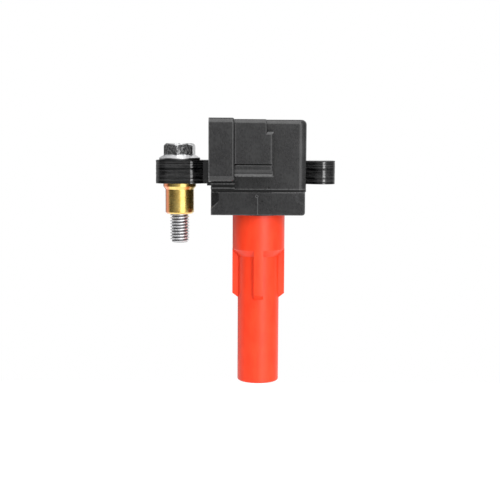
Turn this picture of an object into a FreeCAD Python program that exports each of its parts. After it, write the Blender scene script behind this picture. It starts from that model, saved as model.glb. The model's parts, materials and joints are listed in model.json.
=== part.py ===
"""Plug-top ignition coil: a moulded case with a laminated iron core, coils and igniter potted inside,
a rubber boot that reaches down to the spark plug, and a mounting lug with its sleeve and bolt.

Millimetres. The origin is the centre of the boot's mouth. +Z runs up the boot's axis to the case, +X points
away from the mounting bolt, and -Y is the side with the connector. Each solid goes to parts/NODE.step.
"""
import FreeCAD, Part
import math
import os

V = FreeCAD.Vector
X_AXIS = V(1, 0, 0)
Y_AXIS = V(0, 1, 0)
Z_AXIS = V(0, 0, 1)

# Fits between pieces
SLIP_FIT = 0.05            # radial clearance of pieces that slide or turn in one another
SEAT_GAP = 0.05            # gap at a seat between pieces that move apart
RESIN_GAP = 0.4            # resin between the core and the case wall
WOUND_GAP = 0.25           # resin between a winding and what surrounds it

# Rubber boot
BOOT_LENGTH = 70.2
BOOT_LOWER_RADIUS = 8.6
BOOT_UPPER_RADIUS = 10.85
BOOT_EDGE_RADIUS = 0.6
BOOT_SHOULDER_LENGTH = 2.8
BOOT_SHOULDER_ABOVE_LEDGE = 2.5
BOOT_RIB_WIDTH = 3.9
BOOT_RIB_RADIUS = 10.9
BOOT_RIB_COUNT = 4
BOOT_RIB_LENGTH = 17.7     # below the shoulder
BOOT_RIB_TAPER = 1.8
PLUG_BORE_RADIUS = 5.25
PLUG_BORE_DEPTH = 20.0
PLUG_NUT_ROOM_RADIUS = 3.7
PLUG_NUT_ROOM_LENGTH = 7.0
CONTACT_PASSAGE_RADIUS = 3.3
CONTACT_LIP_THICKNESS = 1.0
CONTACT_LIP_OVERLAP = 0.8

# Sprung contact and suppressor resistor
CONTACT_TRAVEL = 4.0
CAP_COLLAR_THICKNESS = 1.9
CAP_SPIGOT_LENGTH = 2.0
CAP_SPIGOT_RADIUS = 1.8
SPRING_WIRE_RADIUS = 0.3
SPRING_TURNS = 8
RESISTOR_LENGTH = 16.0
RESISTOR_CAP_LENGTH = 3.0
RESISTOR_NECKING = 0.3

# High-voltage tower of the case
TOWER_RADIUS = 7.3
TOWER_LENGTH = 19.2
TOWER_BORE_RADIUS = 4.0
TOWER_END_CHAMFER = 0.8
TOWER_END_GAP = 1.0        # to the boot's inner ledge
HV_CUP_RADIUS = 3.4
HV_CUP_HEIGHT = 3.0
HV_CUP_INSET = 8.5         # from the tower's end
HV_PIN_RADIUS = 1.4
HV_PIN_RISE = 3.1          # above the case floor

# Iron core
SHEET_THICKNESS = 0.5
SHEET_COUNT = 19
LEG_WIDTH = 3.9
FRAME_CORNER_RADIUS = 2.0
MAGNET_THICKNESS = 1.6
BOLT_OFFSET = 13.9         # bolt axis from the case's side
LUG_HALF_WIDTH = 9.45
LUG_CORNER_RADIUS = 5.0
LUG_BEVEL_START = 6.1      # from the bolt's axis, where the lug begins to narrow to its arm
LUG_BEVEL_LENGTH = 3.9
LUG_BEVEL_RADIUS = 4.2
LUG_ARM_HALF_WIDTH = 6.2
LUG_HOLE_RADIUS = 5.6
EAR_HALF_DEPTH = 8.9
EAR_CORNER_RADIUS = 5.6
EAR_NECK_LENGTH = 0.2      # from the case's side, as wide as the lug's arm
EAR_BEVEL_LENGTH = 4.3
EAR_BEVEL_RADIUS = 6.9
EAR_REACH = 12.3           # from the case's side

# Bobbins and windings, built outwards from the centre core
BOBBIN_FIT = 0.15
PRIMARY_WALL = 0.7
PRIMARY_BUILD = 0.9
PRIMARY_LENGTH = 22.1
PRIMARY_FLANGE = 0.9
SECONDARY_WALL = 0.8
SECONDARY_BUILD = 1.5
SECONDARY_SECTIONS = 7
SECONDARY_FLANGE = 0.7
SECONDARY_FLANGE_RISE = 0.25    # beside the winding, towards the core's legs
SECONDARY_FLANGE_CROWN = 0.4    # above and below the winding
SECONDARY_SETBACK = 1.6         # from the primary bobbin's supply end
WINDOW_END_GAP = 0.1

# Igniter
IGNITER_GAP = 1.25         # above the secondary bobbin
IGNITER_LENGTH = 20.0
IGNITER_DEPTH = 14.0
IGNITER_THICKNESS = 4.0
IGNITER_LEAD_LENGTH = 2.0
HEAT_SINK_THICKNESS = 1.2
HEAT_SINK_MARGIN = 1.0
HEADROOM = 3.45            # above the heat sink

# Case
WALL = 1.9
FLOOR = 2.0
BOOT_TO_CASE_GAP = 0.5
UNDER_COIL_ROOM = 5.6      # for the rectifier below the secondary bobbin
CASE_BACK_MARGIN = 2.5     # core to the open back's rim
RESIN_RECESS = 0.8
CASE_LEFT_SPREAD = 0.4     # how much further out the left side stands than the right
CASE_FRONT_CORNER_RADIUS = 3.0
CASE_TOP_EDGE_RADIUS = 2.0
CASE_BACK_EDGE_RADIUS = 0.8
SEAL_THICKNESS = 0.8       # around the core where it leaves the case
SEAL_SHELF_REACH = 2.3
SEAL_CHEEK_REACH = 3.9
SEAL_CHEEK_THICKNESS = 0.25
SEAL_CHEEK_MARGINS = (2.4, 0.7)    # below and above, from the core's faces

# Foot of the case, a raised panel with bevelled ends that spreads to the full width below its hips
FOOT_HEIGHT = 9.4
FOOT_DEPTH = 4.2           # of the block that carries the panel
FOOT_INSET = 0.5           # of its right side
FOOT_GROOVE = 0.9
FOOT_GROOVE_DEPTH = 2.4
FOOT_RISE = 0.6
FOOT_SHOULDER = 4.0        # right of the panel's face, its bevel included
FOOT_BEVEL = 1.5
FOOT_LEFT_BEVEL = 3.2
FOOT_LEFT_BEVEL_DEPTH = 2.2
FOOT_HIP_TOP = 5.8
FOOT_HIP_BOTTOM = 3.3
FOOT_HIP_LIFT = 1.1        # from the hip's lower edge to its upper one
FOOT_LEFT_HIP_BOTTOM = 2.4
FOOT_LEFT_HIP_LIFT = 0.9
FOOT_CREASE_HEIGHT = 5.3
FOOT_TOP_RADIUS = 0.4
FOOT_CORNER_RADIUS = 1.2
FOOT_WALL = 4.8            # inner room of the foot, narrower than the rest

# Connector on the case's front
SOCKET_HEIGHT = 18.8
SOCKET_THICKNESS = 7.2
SOCKET_LENGTH = 14.8
SOCKET_CORNER_RADIUS = 1.2
SOCKET_BACK_WALL = 0.2     # added to the case's own front wall
SOCKET_FRONT_WALL = 1.1
SOCKET_TOP_WALL = 2.0
SOCKET_BOTTOM_WALL = 1.8
COLLAR_LENGTH = 10.15
COLLAR_OVERHANG = 0.95     # past the coil's side
COLLAR_RISE = 1.5          # over the connector's front
COLLAR_TOP_RISE = 0.5
COLLAR_BOTTOM_DROP = 2.0
COLLAR_TOP_RADIUS = 2.2
COLLAR_BOTTOM_RADIUS = 2.9
COLLAR_EDGE_RADIUS = 0.9
COLLAR_COVE_RADIUS = 0.6   # where the connector's front meets the collar
CONNECTOR_LENGTH = 15.4    # behind the collar
CONNECTOR_TOP_RADIUS = 1.8
CONNECTOR_EDGE_RADIUS = 1.3
CONNECTOR_NOTCH_WIDTH = 2.7
CONNECTOR_NOTCH_DEPTH = 5.0
CONNECTOR_NOTCH_RADIUS = 0.6    # of the upright edge beside it
LEDGE_BEVEL_HEIGHT = 1.0   # of the ledge in the notch, whose top rises towards the case
LEDGE_BEVEL_DEPTH = 0.6
LEDGE_RISE = 0.75
SILL_LIP = 0.5             # heights of the sill's lip, its slope, the hollow, its slope and the band
SILL_LIP_SLOPE = 0.7
SILL_HOLLOW = 0.5
SILL_HOLLOW_SLOPE = 1.2
SILL_BAND = 1.4
SILL_LIP_SETBACK = 0.1
SILL_HOLLOW_DEPTH = 0.45
SILL_LINE_SLOPES = (0.5, 0.3)    # of the V-shaped line above the band, below and above its root
SILL_LINE_DEPTH = 0.4
RECESS_LENGTH = 11.4       # of the sloped recess in the case's front, under the collar
RECESS_DEPTH = 1.3
COLLAR_RIB_THICKNESS = 0.5  # ribs in the recess
COLLAR_RIB_REACH = 1.4
COLLAR_RIB_GAPS = (0.8, 2.5)    # below the collar
KEY_WIDTH = 1.2
KEY_RISE = 0.9
KEY_SETBACK = 0.8          # from the mouth

# Terminals
BLADE_WIDTH = 2.3
BLADE_THICKNESS = 0.64
BLADE_PITCH = 5.2
BLADE_LENGTH = 8.5
BLADE_TIP_CHAMFER = 0.16
TERMINAL_WIDTH = 1.6       # behind the blades
TERMINAL_SPACING = 3.4     # between the terminals where they enter the case
TERMINAL_CORE_GAP = 1.3

# Leads and rectifier
LEAD_WIDTH = 0.8
LEAD_THICKNESS = 0.5
DIODE_RADIUS = 1.3
DIODE_LENGTH = 6.0
DIODE_LEAD_RADIUS = 0.35
DIODE_LEAD_LENGTH = 1.3
DIODE_FLOOR_GAP = 0.9
LEAD_SIDE = 3.0            # primary leads, either side of the coil's axis

# Mounting sleeve
SLEEVE_BODY_RADIUS = 5.9
SLEEVE_FLANGE_RADIUS = 6.8
SLEEVE_FLANGE_THICKNESS = 1.4
SLEEVE_CONE_LENGTH = 1.2
SLEEVE_LENGTH = 12.7       # below the lug
SLEEVE_CHAMFER = 0.6

# Mounting bolt, M8 with a 12 mm hexagon and a flange
BOLT_RADIUS = 3.98
THREAD_PITCH = 1.25
THREAD_LENGTH = 18.0
THREAD_END_CHAMFER = 0.9
GROOVE_DEPTH = 0.61        # of the thread's groove; this and the next three are parts of the pitch
GROOVE_HALF_MOUTH = 0.47
GROOVE_HALF_ROOT = 0.0625
GROOVE_OVERSHOOT = 0.125
BOLT_LENGTH = 34.2         # under the head
HEX_ACROSS_FLATS = 12.0
HEX_HEIGHT = 4.5
HEX_CHAMFER_RADIUS = 5.6    # where the top's bevel begins
HEX_CHAMFER_DROP = 1.1      # of the bevel at the corners
HEX_CLOCKING = -6.6        # degrees, of the corner nearest the connector's side
BOLT_FLANGE_RADIUS = 8.45
BOLT_FLANGE_RIM = 0.9
BOLT_FLANGE_CONE = 1.4

# Levels and places worked out from the sizes above
case_bottom = BOOT_LENGTH + BOOT_TO_CASE_GAP
case_floor = case_bottom + FLOOR
tower_end = case_bottom - TOWER_LENGTH
boot_ledge = tower_end - TOWER_END_GAP
boot_shoulder = boot_ledge + BOOT_SHOULDER_ABOVE_LEDGE

stack_height = SHEET_COUNT * SHEET_THICKNESS
core_half = (LEG_WIDTH, stack_height / 2)          # half the centre core's width and height
primary_inner = [half + BOBBIN_FIT for half in core_half]
primary_outer = [half + PRIMARY_WALL for half in primary_inner]
primary_wound = [half + PRIMARY_BUILD for half in primary_outer]
secondary_inner = [half + WOUND_GAP for half in primary_wound]
secondary_outer = [half + SECONDARY_WALL for half in secondary_inner]
secondary_wound = [half + SECONDARY_BUILD for half in secondary_outer]
secondary_rim = (secondary_wound[0] + SECONDARY_FLANGE_RISE, secondary_wound[1] + SECONDARY_FLANGE_CROWN)

core_mid = case_floor + UNDER_COIL_ROOM + secondary_rim[1]
core_bottom = core_mid - stack_height / 2
core_top = core_mid + stack_height / 2
window_half_depth = secondary_rim[0] + WOUND_GAP
frame_half_depth = window_half_depth + LEG_WIDTH
primary_half_length = PRIMARY_LENGTH / 2 + PRIMARY_FLANGE
centre_core_length = 2 * primary_half_length + WINDOW_END_GAP
window_half_length = (centre_core_length + MAGNET_THICKNESS) / 2
frame_half_length = window_half_length + LEG_WIDTH
cavity_half_width = frame_half_length + RESIN_GAP
case_side = cavity_half_width + WALL
case_left = -(case_side + CASE_LEFT_SPREAD)
cavity_front = -(frame_half_depth + RESIN_GAP)
case_front = cavity_front - WALL
case_back = frame_half_depth + CASE_BACK_MARGIN
resin_back = case_back - RESIN_RECESS
bolt_x = -(case_side + BOLT_OFFSET)
ear_end = case_side + EAR_REACH

igniter_bottom = core_mid + secondary_rim[1] + IGNITER_GAP
igniter_top = igniter_bottom + IGNITER_THICKNESS
igniter_mid = (igniter_bottom + igniter_top) / 2
heat_sink_top = igniter_top + HEAT_SINK_THICKNESS
cavity_top = heat_sink_top + HEADROOM
case_top = cavity_top + WALL
foot_top = case_bottom + FOOT_HEIGHT
foot_right = case_side - FOOT_INSET
foot_front = case_front - FOOT_RISE
foot_back = case_front + FOOT_DEPTH

socket_top = case_top - SOCKET_TOP_WALL
socket_bottom = socket_top - SOCKET_HEIGHT
socket_mid = (socket_top + socket_bottom) / 2
socket_back = case_front - SOCKET_BACK_WALL
socket_front = socket_back - SOCKET_THICKNESS
socket_mid_y = (socket_back + socket_front) / 2
connector_front = socket_front - SOCKET_FRONT_WALL
connector_bottom = socket_bottom - SOCKET_BOTTOM_WALL
collar_mouth = -(case_side + COLLAR_OVERHANG)
collar_end = collar_mouth + COLLAR_LENGTH
collar_bottom = connector_bottom - COLLAR_BOTTOM_DROP
connector_end = collar_end + CONNECTOR_LENGTH
socket_floor = collar_mouth + SOCKET_LENGTH
sill_levels = [connector_bottom + sum((SILL_LIP, SILL_LIP_SLOPE, SILL_HOLLOW, SILL_HOLLOW_SLOPE, SILL_BAND,
                                       *SILL_LINE_SLOPES)[:count]) for count in range(1, 8)]

hv_cup_bottom = tower_end + HV_CUP_INSET
resistor_top = hv_cup_bottom - SEAT_GAP
resistor_bottom = resistor_top - RESISTOR_LENGTH
lip_bottom = PLUG_BORE_DEPTH + PLUG_NUT_ROOM_LENGTH
lip_top = lip_bottom + CONTACT_LIP_THICKNESS
cap_collar_bottom = lip_top + SEAT_GAP
cap_collar_top = cap_collar_bottom + CAP_COLLAR_THICKNESS


def box(x, y, z):
    """A box between two values on each axis, given in either order."""
    low = V(min(x), min(y), min(z))
    return Part.makeBox(abs(x[1] - x[0]), abs(y[1] - y[0]), abs(z[1] - z[0]), low)


def rod(radius, z, centre=(0, 0)):
    """An upright cylinder between two levels."""
    return Part.makeCylinder(radius, z[1] - z[0], V(centre[0], centre[1], z[0]), Z_AXIS)


def turned(profile, centre=(0, 0)):
    """A solid of revolution about an upright axis, from (radius, level) points."""
    points = [V(centre[0] + radius, centre[1], level) for radius, level in profile]
    face = Part.Face(Part.makePolygon(points + points[:1]))
    return face.revolve(V(centre[0], centre[1], 0), Z_AXIS, 360)


def level_prism(outline, z):
    """An outline of (x, y) points, extruded along Z."""
    points = [V(x, y, min(z)) for x, y in outline]
    return Part.Face(Part.makePolygon(points + points[:1])).extrude(Z_AXIS * abs(z[1] - z[0]))


def pyramid(base, tip):
    """A solid between a flat outline of points and a tip."""
    faces = [Part.Face(Part.makePolygon(base + base[:1]))]
    for start, end in zip(base, base[1:] + base[:1]):
        faces.append(Part.Face(Part.makePolygon([start, end, tip, start])))
    solid = Part.Solid(Part.Shell(faces))
    if solid.Volume < 0:
        solid.reverse()
    return solid


def side_prism(outline, x):
    """An outline of (y, z) points, extruded along X."""
    points = [V(min(x), y, z) for y, z in outline]
    return Part.Face(Part.makePolygon(points + points[:1])).extrude(X_AXIS * abs(x[1] - x[0]))


def rounded(shape, radius, chosen):
    """The shape with the edges that a test picks rounded."""
    return shape.makeFillet(radius, [edge for edge in shape.Edges if chosen(edge)])


def runs_along(edge, axis):
    """Whether an edge is straight and parallel to an axis."""
    if len(edge.Vertexes) != 2:
        return False
    chord = edge.Vertexes[1].Point.sub(edge.Vertexes[0].Point)
    return near(abs(chord.dot(axis)), chord.Length) and near(chord.Length, edge.Length)


def near(value, target):
    return abs(value - target) < 1e-4


def centred_tube(half, x):
    """A bar about the coil's axis, with half its width and half its height."""
    return box(x, (-half[0], half[0]), (core_mid - half[1], core_mid + half[1]))


def strip(points, size):
    """A flat conductor through corner points, its runs parallel to the axes, with its size on each axis."""
    runs = []
    for index, (start, end) in enumerate(zip(points, points[1:])):
        spans = []
        for axis in range(3):
            low, high = sorted((start[axis], end[axis]))
            across = near(low, high)
            starts_low = start[axis] <= end[axis]
            at_low_end = index == 0 if starts_low else index == len(points) - 2
            at_high_end = index == len(points) - 2 if starts_low else index == 0
            half = size[axis] / 2
            low_growth = half if across or not at_low_end else 0
            high_growth = half if across or not at_high_end else 0
            spans.append((low - low_growth, high + high_growth))
        runs.append(box(*spans))
    return runs[0].multiFuse(runs[1:]).removeSplitter() if len(runs) > 1 else runs[0]


# Iron core and coils

def core_frame():
    """The outer core: a rectangular ring of sheets with the mounting lug and a plain ear."""
    level = (core_bottom, core_top)
    ring = box((-frame_half_length, frame_half_length), (-frame_half_depth, frame_half_depth), level)
    ring = rounded(ring, FRAME_CORNER_RADIUS, lambda edge: runs_along(edge, Z_AXIS))
    arm = box((bolt_x, -window_half_length), (-LUG_ARM_HALF_WIDTH, LUG_ARM_HALF_WIDTH), level)
    lug_bevel = bolt_x + LUG_BEVEL_START
    lug = bevelled_plate((lug_bevel + LUG_BEVEL_LENGTH, lug_bevel, bolt_x - LUG_HALF_WIDTH), LUG_HALF_WIDTH,
                         LUG_BEVEL_RADIUS, LUG_CORNER_RADIUS, level)
    neck_end = case_side + EAR_NECK_LENGTH
    neck = box((window_half_length, neck_end), (-LUG_ARM_HALF_WIDTH, LUG_ARM_HALF_WIDTH), level)
    ear = bevelled_plate((neck_end, neck_end + EAR_BEVEL_LENGTH, ear_end), EAR_HALF_DEPTH,
                         EAR_BEVEL_RADIUS, EAR_CORNER_RADIUS, level)
    window = box((-window_half_length, window_half_length), (-window_half_depth, window_half_depth), level)
    frame = ring.multiFuse([arm, lug, neck, ear]).cut([window, rod(LUG_HOLE_RADIUS, level, (bolt_x, 0))])
    return frame.removeSplitter()


def bevelled_plate(xs, half_width, bevel_radius, corner_radius, level):
    """A plate that widens from the arm's width along two bevels and ends in round corners."""
    neck, bevel, end = xs
    outline = [(neck, -LUG_ARM_HALF_WIDTH), (bevel, -half_width), (end, -half_width), (end, half_width),
               (bevel, half_width), (neck, LUG_ARM_HALF_WIDTH)]
    plate = level_prism(outline, level)
    plate = rounded(plate, bevel_radius, lambda edge: runs_along(edge, Z_AXIS)
                    and near(edge.BoundBox.XMin, bevel))
    return rounded(plate, corner_radius, lambda edge: runs_along(edge, Z_AXIS)
                   and near(edge.BoundBox.XMin, end))


def centre_core():
    """The straight stack that the windings sit on."""
    return centred_tube(core_half, (-window_half_length, window_half_length - MAGNET_THICKNESS))


def bias_magnet():
    return centred_tube(core_half, (window_half_length - MAGNET_THICKNESS, window_half_length))


primary_start = -window_half_length + WINDOW_END_GAP
primary_end = primary_start + 2 * primary_half_length
secondary_start = primary_start + SECONDARY_SETBACK
secondary_end = window_half_length - WINDOW_END_GAP
section_pitch = (secondary_end - secondary_start - SECONDARY_FLANGE) / SECONDARY_SECTIONS


def primary_bobbin():
    """A tube on the centre core with a flange at each end."""
    rim = [half - WOUND_GAP / 2 for half in secondary_inner]
    tube = centred_tube(primary_outer, (primary_start, primary_end))
    ends = [centred_tube(rim, (primary_start, primary_start + PRIMARY_FLANGE)),
            centred_tube(rim, (primary_end - PRIMARY_FLANGE, primary_end))]
    hole = centred_tube(primary_inner, (primary_start, primary_end))
    return tube.fuse(ends).cut(hole).removeSplitter()


def primary_winding():
    length = (primary_start + PRIMARY_FLANGE, primary_end - PRIMARY_FLANGE)
    return centred_tube(primary_wound, length).cut(centred_tube(primary_outer, length))


def secondary_bobbin():
    """A tube around the primary winding, with flanges that divide the secondary into sections."""
    tube = centred_tube(secondary_outer, (secondary_start, secondary_end))
    flanges = []
    for index in range(SECONDARY_SECTIONS + 1):
        start = secondary_start + index * section_pitch
        flanges.append(centred_tube(secondary_rim, (start, start + SECONDARY_FLANGE)))
    hole = centred_tube(secondary_inner, (secondary_start, secondary_end))
    return tube.fuse(flanges).cut(hole).removeSplitter()


def secondary_winding():
    """One ring of fine wire in each section of the bobbin."""
    rings = []
    for index in range(SECONDARY_SECTIONS):
        start = secondary_start + index * section_pitch + SECONDARY_FLANGE
        length = (start, start + section_pitch - SECONDARY_FLANGE)
        rings.append(centred_tube(secondary_wound, length).cut(centred_tube(secondary_outer, length)))
    return Part.makeCompound(rings)


# Igniter, terminals and leads

igniter_front = -IGNITER_DEPTH / 2
terminal_back = igniter_front - IGNITER_LEAD_LENGTH
terminal_middle = (socket_floor + connector_end) / 2
terminal_xs = [terminal_middle + (index - 1) * TERMINAL_SPACING for index in range(3)]
blade_levels = [socket_mid + (1 - index) * BLADE_PITCH for index in range(3)]
entry_levels = [max(level, core_top + TERMINAL_CORE_GAP) for level in blade_levels]
lead_level = (core_mid + secondary_rim[1] + igniter_bottom) / 2
lead_size = (LEAD_THICKNESS, LEAD_WIDTH, LEAD_THICKNESS)
lead_x = primary_start + PRIMARY_FLANGE + LEAD_THICKNESS / 2
first_section_x = secondary_start + SECONDARY_FLANGE + (section_pitch - SECONDARY_FLANGE) / 2
last_section_x = first_section_x + (SECONDARY_SECTIONS - 1) * section_pitch
diode_level = case_floor + DIODE_FLOOR_GAP + DIODE_RADIUS
diode_start = HV_PIN_RADIUS + DIODE_LEAD_LENGTH


def igniter_module():
    """The moulded power stage, with a lead for each terminal at its front."""
    body = box((-IGNITER_LENGTH / 2, IGNITER_LENGTH / 2), (igniter_front, -igniter_front),
               (igniter_bottom, igniter_top))
    leads = [box((x - LEAD_WIDTH / 2, x + LEAD_WIDTH / 2), (terminal_back, igniter_front),
                 (igniter_mid - LEAD_THICKNESS / 2, igniter_mid + LEAD_THICKNESS / 2)) for x in terminal_xs]
    return body.multiFuse(leads).removeSplitter()


def heat_sink():
    half_length = IGNITER_LENGTH / 2 + HEAT_SINK_MARGIN
    half_depth = IGNITER_DEPTH / 2 + HEAT_SINK_MARGIN
    return box((-half_length, half_length), (-half_depth, half_depth), (igniter_top, heat_sink_top))


def terminal(index):
    """A blade in the socket, a run through the case's front wall and a tab at the igniter's lead."""
    half_blade = BLADE_WIDTH / 2
    half_width = TERMINAL_WIDTH / 2
    half_thick = BLADE_THICKNESS / 2
    x = terminal_xs[index]
    blade = blade_levels[index]
    entry = entry_levels[index]
    tip = box((socket_floor - BLADE_LENGTH, x + half_width),
              (socket_mid_y - half_blade, socket_mid_y + half_blade),
              (blade - half_thick, blade + half_thick))
    tip = tip.makeChamfer(BLADE_TIP_CHAMFER, [edge for edge in tip.Edges
                                                if near(edge.BoundBox.XMax, socket_floor - BLADE_LENGTH)])
    across = (x - half_width, x + half_width)
    riser = box(across, (socket_mid_y - half_thick, socket_mid_y + half_thick),
                (blade - half_thick, entry + half_thick))
    run = box(across, (socket_mid_y, terminal_back), (entry - half_thick, entry + half_thick))
    tab = box(across, (terminal_back - BLADE_THICKNESS, terminal_back),
              (min(entry, lead_level) - half_thick, max(entry, igniter_mid) + half_thick))
    return tip.multiFuse([riser, run, tab]).removeSplitter()


def primary_supply_lead():
    """From the start of the primary winding to the power terminal."""
    run_y = terminal_back + LEAD_WIDTH / 2
    return strip([(lead_x, -LEAD_SIDE, core_mid + primary_wound[1]), (lead_x, -LEAD_SIDE, lead_level),
                  (lead_x, run_y, lead_level), (terminal_xs[0] + TERMINAL_WIDTH / 2, run_y, lead_level)],
                 lead_size)


def primary_switched_lead():
    """From the end of the primary winding to the underside of the igniter."""
    pad_x = -IGNITER_LENGTH / 2 + LEAD_WIDTH
    return strip([(lead_x, LEAD_SIDE, core_mid + primary_wound[1]), (lead_x, LEAD_SIDE, lead_level),
                  (pad_x, LEAD_SIDE, lead_level), (pad_x, LEAD_SIDE, igniter_bottom)], lead_size)


def secondary_low_lead():
    """From the first section of the secondary to the primary's supply lead."""
    start_y = igniter_front
    return strip([(first_section_x, start_y, core_mid + secondary_wound[1]),
                  (first_section_x, start_y, lead_level),
                  (first_section_x, terminal_back + LEAD_WIDTH, lead_level)], lead_size)


def high_voltage_lead():
    """From the last section of the secondary down to the rectifier."""
    return strip([(last_section_x, 0, core_mid - secondary_wound[1]),
                  (last_section_x, 0, diode_level - DIODE_LEAD_RADIUS)], lead_size)


def rectifier_diode():
    """The high-voltage diode, lying between the secondary's end and the tower's pin."""
    wire_end = last_section_x - LEAD_THICKNESS / 2
    body = Part.makeCylinder(DIODE_RADIUS, DIODE_LENGTH, V(diode_start, 0, diode_level), X_AXIS)
    wire = Part.makeCylinder(DIODE_LEAD_RADIUS, wire_end, V(0, 0, diode_level), X_AXIS)
    return body.fuse(wire).cut(high_voltage_terminal()).removeSplitter()


def high_voltage_terminal():
    """The pin through the case's floor, with a cup in the tower for the resistor."""
    cup_top = hv_cup_bottom + HV_CUP_HEIGHT
    return turned([(0, hv_cup_bottom), (HV_CUP_RADIUS, hv_cup_bottom), (HV_CUP_RADIUS, cup_top),
                   (HV_PIN_RADIUS, cup_top), (HV_PIN_RADIUS, case_floor + HV_PIN_RISE),
                   (0, case_floor + HV_PIN_RISE)])


# Case, seals and resin

def case_body():
    """The box of the case, with its raised foot at the front and its tower below."""
    block = box((case_left, case_side), (case_front, case_back), (case_bottom, case_top))
    block = rounded(block, CASE_FRONT_CORNER_RADIUS,
                    lambda edge: runs_along(edge, Z_AXIS) and near(edge.BoundBox.YMax, case_front)
                    and edge.BoundBox.XMin > 0)
    block = rounded(block, CASE_TOP_EDGE_RADIUS, lambda edge: near(edge.BoundBox.ZMin, case_top)
                    and not near(edge.BoundBox.YMin, case_back))
    block = rounded(block, CASE_BACK_EDGE_RADIUS, lambda edge: near(edge.BoundBox.YMin, case_back)
                    and not near(edge.BoundBox.ZMax, case_bottom))
    width = (case_left, case_side)
    recess = level_prism([(case_left, case_front), (case_left + RECESS_LENGTH, case_front),
                          (case_left, case_front + RECESS_DEPTH)], (foot_top, collar_bottom))
    block = block.cut([box(width, (case_front, foot_back), (case_bottom, foot_top)),
                       box((foot_right, case_side), (case_front, case_back), (case_bottom, foot_top)),
                       box(width, (case_front, case_front + FOOT_GROOVE_DEPTH),
                           (foot_top, foot_top + FOOT_GROOVE)), recess])
    body = block.multiFuse([foot_panel(), tower()]).removeSplitter()
    return rounded(body, FOOT_CORNER_RADIUS, lambda edge: runs_along(edge, Y_AXIS)
                   and near(edge.BoundBox.ZMax, case_bottom) and near(edge.BoundBox.XMin, foot_right))


def foot_panel():
    """The raised panel across the foot: bevelled at both ends, at full width below its hips."""
    face_end = foot_right - FOOT_SHOULDER
    bevel_end = face_end + FOOT_BEVEL
    hip_top = case_bottom + FOOT_HIP_TOP
    hip_bottom = case_bottom + FOOT_HIP_BOTTOM
    hip_fall = (hip_top - hip_bottom) * FOOT_BEVEL / FOOT_SHOULDER
    face = [(case_left, case_bottom), (foot_right, case_bottom), (foot_right, hip_bottom),
            (face_end, hip_top), (face_end, foot_top), (case_left, foot_top)]
    base = [(case_left, case_bottom), (foot_right, case_bottom), (foot_right, hip_bottom + FOOT_HIP_LIFT),
            (bevel_end, hip_top - hip_fall + FOOT_HIP_LIFT), (bevel_end, foot_top), (case_left, foot_top)]
    wires = []
    for outline, y in ((face, foot_front), (base, case_front)):
        points = [V(x, y, z) for x, z in outline]
        wires.append(Part.makePolygon(points + points[:1]))
    plateau = Part.makeLoft(wires, True, True)
    block = box((case_left, foot_right), (case_front, foot_back), (case_bottom, foot_top))
    left_face = case_left + FOOT_LEFT_BEVEL
    corner = [(left_face, foot_front), (case_left, foot_front),
              (case_left, foot_front + FOOT_LEFT_BEVEL_DEPTH)]
    left_hip = case_bottom + FOOT_LEFT_HIP_BOTTOM
    bevel_back = foot_front + FOOT_LEFT_BEVEL_DEPTH
    side = [(foot_front, hip_top), (foot_front, left_hip), (bevel_back, left_hip + FOOT_LEFT_HIP_LIFT),
            (bevel_back, hip_top)]
    hip = pyramid([V(case_left, y, z) for y, z in side], V(left_face, foot_front, hip_top))
    crease = case_bottom + FOOT_CREASE_HEIGHT
    section = side_prism([(foot_back, case_bottom), (case_front, case_bottom), (foot_front, crease),
                          (foot_front, foot_top), (foot_back, foot_top)], (case_left, case_side))
    panel = block.fuse(plateau).cut([level_prism(corner, (hip_top, foot_top)), hip]).common(section)
    return rounded(panel.removeSplitter(), FOOT_TOP_RADIUS, lambda edge: runs_along(edge, X_AXIS)
                   and near(edge.BoundBox.ZMin, foot_top) and near(edge.BoundBox.YMin, foot_front))


def tower():
    """The tower that carries the boot and leads the high voltage down to it."""
    top = case_bottom + FLOOR
    return turned([(0, tower_end), (TOWER_RADIUS - TOWER_END_CHAMFER, tower_end),
                   (TOWER_RADIUS, tower_end + TOWER_END_CHAMFER), (TOWER_RADIUS, top), (0, top)])


def connector_shell():
    """The connector's outside: a collar with ribs under it, and a body with a notch and a stepped sill."""
    inner_y = case_front + WALL / 2
    collar_front = connector_front - COLLAR_RISE
    collar_top = case_top + COLLAR_TOP_RISE
    collar = box((collar_mouth, collar_end), (collar_front, inner_y), (collar_bottom, collar_top))
    collar = rounded(collar, COLLAR_TOP_RADIUS, lambda edge: runs_along(edge, X_AXIS)
                     and near(edge.BoundBox.YMax, collar_front) and near(edge.BoundBox.ZMin, collar_top))
    collar = rounded(collar, COLLAR_BOTTOM_RADIUS, lambda edge: runs_along(edge, X_AXIS)
                     and near(edge.BoundBox.YMax, collar_front) and near(edge.BoundBox.ZMax, collar_bottom))
    collar = rounded(collar, COLLAR_EDGE_RADIUS, lambda edge: near(edge.BoundBox.XMin, collar_end)
                     and not near(edge.BoundBox.YMin, inner_y))
    cove_level = (sill_levels[-1], case_top - CONNECTOR_TOP_RADIUS)
    cove_x = collar_end + COLLAR_COVE_RADIUS
    cove_y = connector_front - COLLAR_COVE_RADIUS
    cove = box((collar_end, cove_x), (cove_y, connector_front), cove_level)
    cove = cove.cut(rod(COLLAR_COVE_RADIUS, cove_level, (cove_x, cove_y)))
    ribs = []
    for gap in COLLAR_RIB_GAPS:
        rib_top = collar_bottom - gap
        ribs.append(box((case_left, collar_end), (case_front - COLLAR_RIB_REACH, inner_y),
                        (rib_top - COLLAR_RIB_THICKNESS, rib_top)))
    return [collar, cove] + connector_body(inner_y) + ribs


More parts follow.
